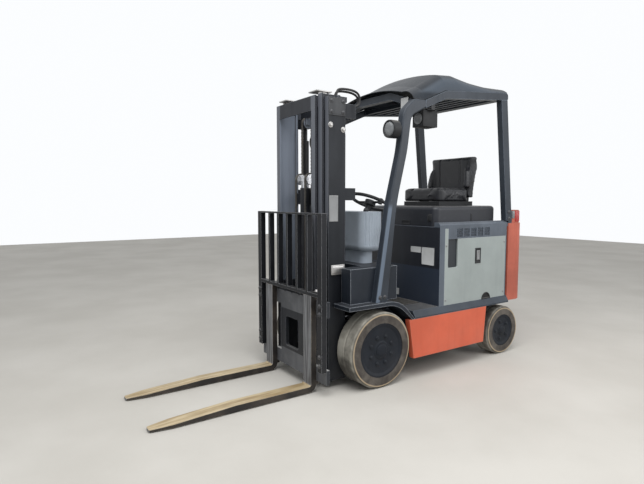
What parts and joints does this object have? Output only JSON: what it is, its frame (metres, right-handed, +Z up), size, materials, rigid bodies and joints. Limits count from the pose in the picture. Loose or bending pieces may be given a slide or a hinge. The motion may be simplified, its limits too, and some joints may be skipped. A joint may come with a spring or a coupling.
{
  "type": "electric counterbalance forklift truck",
  "caption": "Four-wheel sit-down electric counterbalance forklift with solid tyres, three-stage mast, hooked forks, load backrest and overhead guard with a moulded canopy.",
  "frame": {"origin": "on the floor, on the centreline, midway between the fork tips and the back of the counterweight", "axes": "+X to the truck's left side, -Y to the front where the forks point, +Z up"},
  "size_m": [1.064, 3.17, 2.2925],
  "materials": {
    "body_charcoal": "satin charcoal blue paint, scuffed",
    "sill_orange": "gloss orange paint",
    "weight_orange": "gloss orange-red paint",
    "panel_grey": "satin grey-green paint",
    "axle_black": "oily black paint",
    "mast_black": "black paint, scuffed",
    "rail_steel": "grey-black paint worn to steel",
    "fork_steel": "worn straw-coloured blade tops",
    "battery_case": "dull black case",
    "dash_grey": "pale blue-grey moulding",
    "black_plastic": "black moulding",
    "hood_black": "black moulding",
    "canopy_smoke": "dark moulded sheet",
    "seat_vinyl": "black vinyl",
    "tyre_pale": "dusty non-marking rubber",
    "wheel_navy": "dark navy paint",
    "rod_chrome": "hard chrome",
    "chain_steel": "greased steel leaf chain",
    "lamp": "black lamp housing",
    "tail_lamp": "red and clear lens"
  },
  "bodies": {
    "chassis": {"main_frame": "body_charcoal", "side_sills": "sill_orange", "front_cowl": "body_charcoal", "drive_axle": "axle_black", "steer_axle": "axle_black", "battery_compartment": "body_charcoal", "battery_panels": "panel_grey", "battery": "battery_case", "counterweight": "weight_orange", "dash": "dash_grey", "steering_column": "axle_black", "steering_wheel": "black_plastic", "levers_and_pedals": "black_plastic", "front_pillars": "body_charcoal", "rear_pillars": "body_charcoal", "roof_frame": "body_charcoal", "canopy": "canopy_smoke", "headlamps": "lamp", "rear_lamps": "tail_lamp"},
    "front_left_wheel": {"front_wheel_left": "wheel_navy", "front_tyre_left": "tyre_pale"},
    "front_right_wheel": {"front_wheel_right": "wheel_navy", "front_tyre_right": "tyre_pale"},
    "left_knuckle": {"knuckle_left": "axle_black"},
    "right_knuckle": {"knuckle_right": "axle_black"},
    "rear_left_wheel": {"rear_wheel_left": "wheel_navy", "rear_tyre_left": "tyre_pale"},
    "rear_right_wheel": {"rear_wheel_right": "wheel_navy", "rear_tyre_right": "tyre_pale"},
    "hood_lid": {"hood": "hood_black", "seat_frame": "axle_black", "seat_cushion": "seat_vinyl", "seat_back": "seat_vinyl"},
    "tilt_barrels": {"tilt_cylinders": "axle_black"},
    "tilt_rams": {"tilt_rods": "rod_chrome"},
    "mast": {"outer_mast": "mast_black", "lift_cylinders": "axle_black", "lift_chains_rear": "chain_steel"},
    "middle_stage": {"middle_mast": "rail_steel", "lift_rods": "rod_chrome"},
    "inner_stage": {"inner_mast": "rail_steel", "free_lift_cylinder": "axle_black", "free_chains_rear": "chain_steel", "lift_chains_front": "chain_steel"},
    "crosshead_stage": {"crosshead": "rod_chrome"},
    "fork_carriage": {"carriage": "mast_black", "load_backrest": "mast_black", "fork_left": "fork_steel", "fork_right": "fork_steel", "free_chains_front": "chain_steel"}
  },
  "joints": [
    {"name": "front_left_spin", "type": "hinge", "parent": "chassis", "child": "front_left_wheel", "pos_m": [0.426, -0.055, 0.2665], "axis": [1, 0, 0], "continuous": true},
    {"name": "front_right_spin", "type": "hinge", "parent": "chassis", "child": "front_right_wheel", "pos_m": [-0.426, -0.055, 0.2665], "axis": [1, 0, 0], "continuous": true},
    {"name": "left_steer", "type": "hinge", "parent": "chassis", "child": "left_knuckle", "pos_m": [0.304, 1.315, 0.203], "axis": [0, 0, 1], "range_deg": [-70, 70]},
    {"name": "right_steer", "type": "hinge", "parent": "chassis", "child": "right_knuckle", "pos_m": [-0.304, 1.315, 0.203], "axis": [0, 0, 1], "range_deg": [-70, 70]},
    {"name": "rear_left_spin", "type": "hinge", "parent": "left_knuckle", "child": "rear_left_wheel", "pos_m": [0.414, 1.315, 0.203], "axis": [1, 0, 0], "continuous": true},
    {"name": "rear_right_spin", "type": "hinge", "parent": "right_knuckle", "child": "rear_right_wheel", "pos_m": [-0.414, 1.315, 0.203], "axis": [1, 0, 0], "continuous": true},
    {"name": "hood_hinge", "type": "hinge", "parent": "chassis", "child": "hood_lid", "pos_m": [0, 1.29, 1.118], "axis": [-1, 0, 0], "range_deg": [0, 60]},
    {"name": "mast_tilt", "type": "hinge", "parent": "chassis", "child": "mast", "pos_m": [0, -0.055, 0.2665], "axis": [1, 0, 0], "range_deg": [-5, 5]},
    {"name": "tilt_barrel_swing", "type": "hinge", "parent": "chassis", "child": "tilt_barrels", "pos_m": [0, 0.215, 0.4], "axis": [1, 0, 0], "range_deg": [-6, 6]},
    {"name": "tilt_ram_slide", "type": "slide", "parent": "tilt_barrels", "child": "tilt_rams", "axis": [0, -0.9959, 0.0905], "range_m": [-0.03, 0.03]},
    {"name": "mast_lift", "type": "slide", "parent": "mast", "child": "middle_stage", "axis": [0, 0, 1], "range_m": [0, 1.45], "deforming": ["lift_chains_rear"]},
    {"name": "inner_lift", "type": "slide", "parent": "middle_stage", "child": "inner_stage", "axis": [0, 0, 1], "range_m": [0, 1.45], "deforming": ["lift_chains_front"]},
    {"name": "carriage_lift", "type": "slide", "parent": "inner_stage", "child": "fork_carriage", "axis": [0, 0, 1], "range_m": [0, 1.18], "deforming": ["free_chains_front"]},
    {"name": "crosshead_lift", "type": "slide", "parent": "inner_stage", "child": "crosshead_stage", "axis": [0, 0, 1], "range_m": [0, 0.59], "deforming": ["free_chains_rear"]}
  ],
  "couplings": [
    {"joint": "right_steer", "follows": "left_steer", "ratio": 1},
    {"joint": "tilt_barrel_swing", "follows": "mast_tilt", "ratio": 0.22464},
    {"joint": "tilt_ram_slide", "follows": "mast_tilt", "m_per_rad": 0.15734},
    {"joint": "inner_lift", "follows": "mast_lift", "ratio": 1},
    {"joint": "crosshead_lift", "follows": "carriage_lift", "ratio": 0.5}
  ]
}
